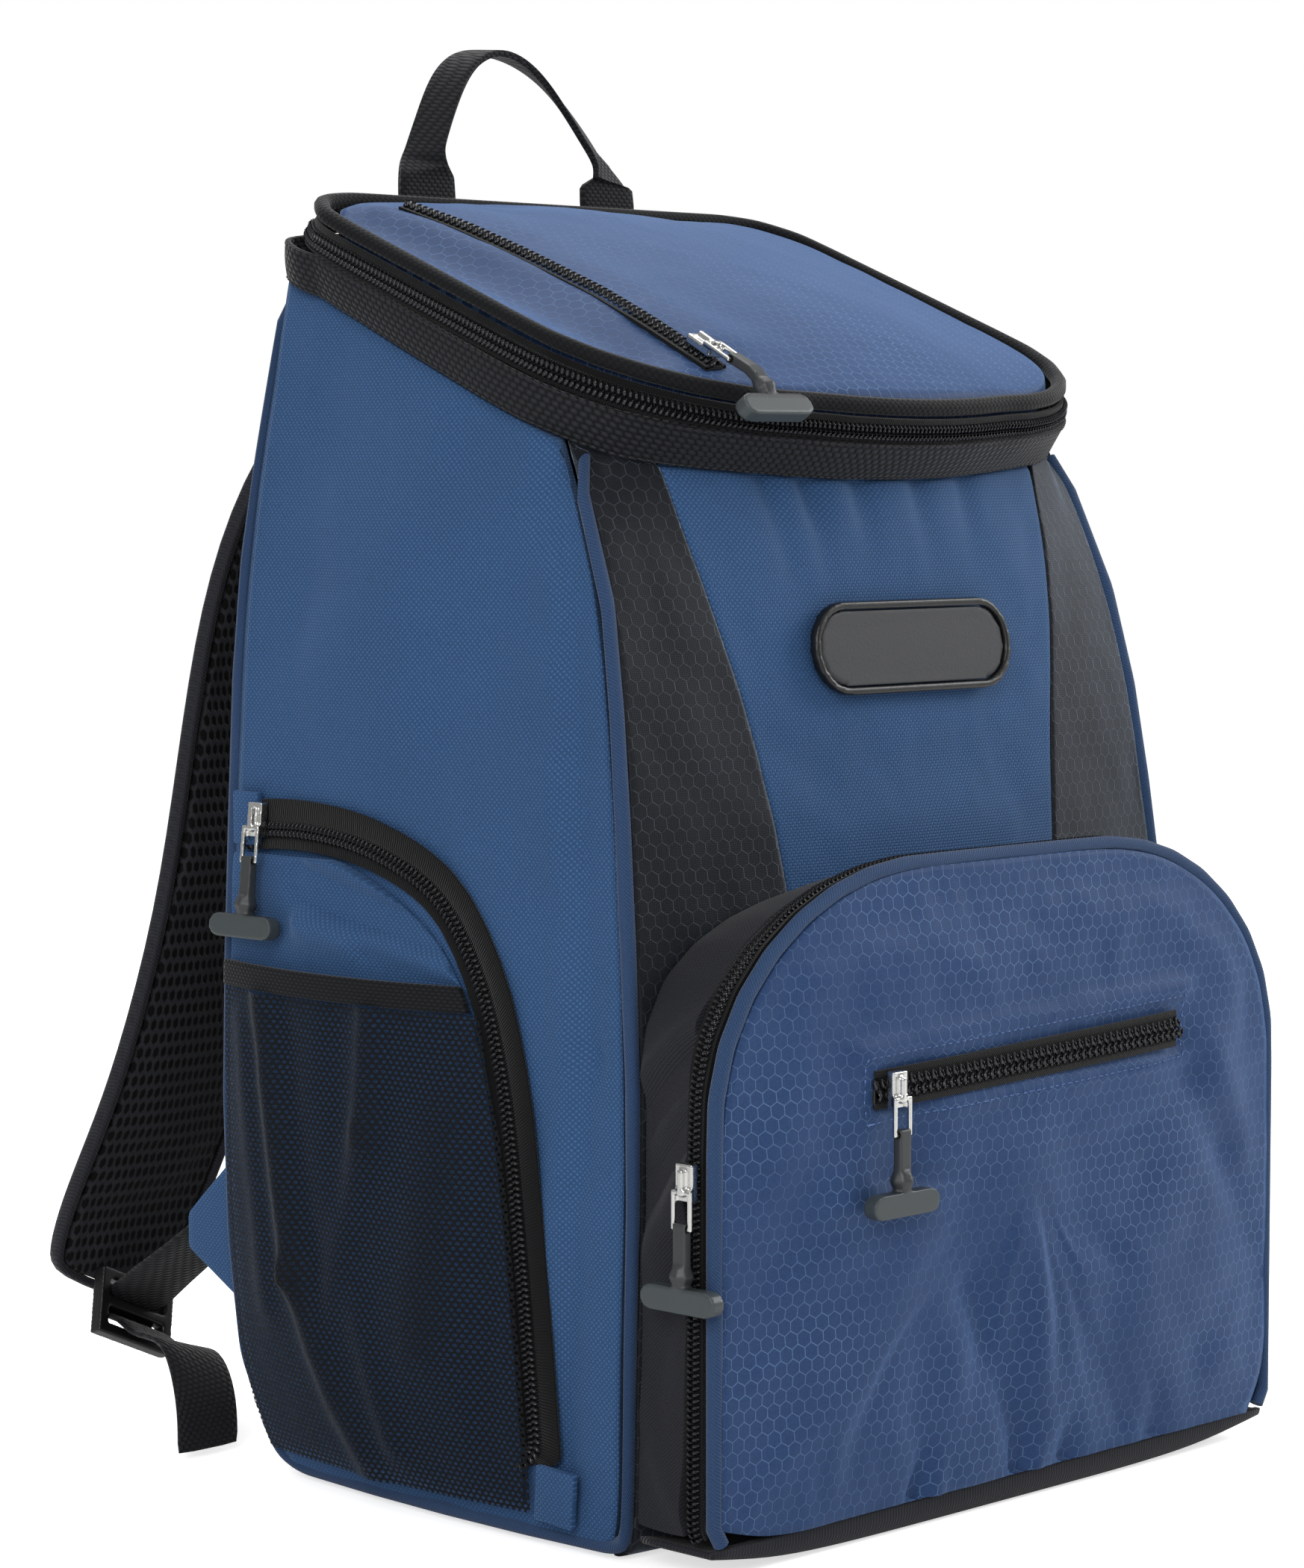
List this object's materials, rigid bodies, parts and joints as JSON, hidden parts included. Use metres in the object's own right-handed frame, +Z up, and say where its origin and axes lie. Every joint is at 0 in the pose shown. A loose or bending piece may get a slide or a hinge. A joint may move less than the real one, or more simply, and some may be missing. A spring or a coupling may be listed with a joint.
{
  "type": "cooler backpack",
  "caption": "Soft insulated backpack: tapered tub with a slanted zipped lid, domed front pocket, zipped and mesh side pockets, padded shoulder straps and a top handle.",
  "frame": {"origin": "on the surface that the bag stands on, at the middle of the base panel", "axes": "+Z up, -Y out of the front pocket, +Y towards the wearer's back, +X to the viewer's right of the front"},
  "size_m": [0.3032, 0.3464, 0.4702],
  "materials": {
    "navy_weave": "plain-woven navy polyester, matte",
    "navy_hex": "navy ripstop with a fine hexagon grid, satin",
    "charcoal_hex": "charcoal ripstop with a fine hexagon grid",
    "black_fabric": "black twill and binding tape, matte",
    "black_webbing": "woven black webbing",
    "zip_tape": "black zip tape with a nylon coil",
    "mesh_net": "stretch mesh",
    "air_mesh": "padded spacer mesh",
    "grey_rubber": "moulded grey rubber, matte",
    "badge_grey": "moulded dark grey rubber, bare",
    "steel": "die-cast zip slider, nickel",
    "black_plastic": "moulded black acetal"
  },
  "bodies": {
    "root": {"side_panel_right": "navy_weave", "side_panel_left": "navy_weave", "front_panel": "navy_weave", "side_piping_right": "navy_weave", "side_piping_left": "navy_weave", "pocket_piping": "navy_weave", "side_pocket_panel_right": "navy_weave", "side_pocket_panel_left": "navy_weave", "webbing_wing_right": "navy_weave", "webbing_wing_left": "navy_weave", "lid_panel": "navy_hex", "pocket_front": "navy_hex", "wedge_right": "charcoal_hex", "wedge_left": "charcoal_hex", "back_panel": "black_fabric", "base_panel": "black_fabric", "lid_hinge": "black_fabric", "lid_piping": "black_fabric", "pocket_gusset": "black_fabric", "pocket_base": "black_fabric", "side_binding_right": "black_fabric", "side_binding_left": "black_fabric", "strap_binding_right": "black_fabric", "strap_binding_left": "black_fabric", "badge_rim": "black_fabric", "rim_band": "black_webbing", "carry_handle": "black_webbing", "strap_webbing_right": "black_webbing", "strap_webbing_left": "black_webbing", "main_zip": "zip_tape", "lid_zip": "zip_tape", "pocket_zip": "zip_tape", "small_zip": "zip_tape", "side_zip_right": "zip_tape", "side_zip_left": "zip_tape", "side_mesh_right": "mesh_net", "side_mesh_left": "mesh_net", "shoulder_strap_right": "air_mesh", "shoulder_strap_left": "air_mesh", "lid_pull": "grey_rubber", "small_pull": "grey_rubber", "gusset_pull": "grey_rubber", "side_right_pull": "grey_rubber", "side_left_pull": "grey_rubber", "main_pull": "grey_rubber", "badge": "badge_grey", "lid_slider": "steel", "small_slider": "steel", "gusset_slider": "steel", "side_right_slider": "steel", "side_left_slider": "steel", "main_slider": "steel", "ladder_lock_right": "black_plastic", "ladder_lock_left": "black_plastic"}
  },
  "joints": []
}
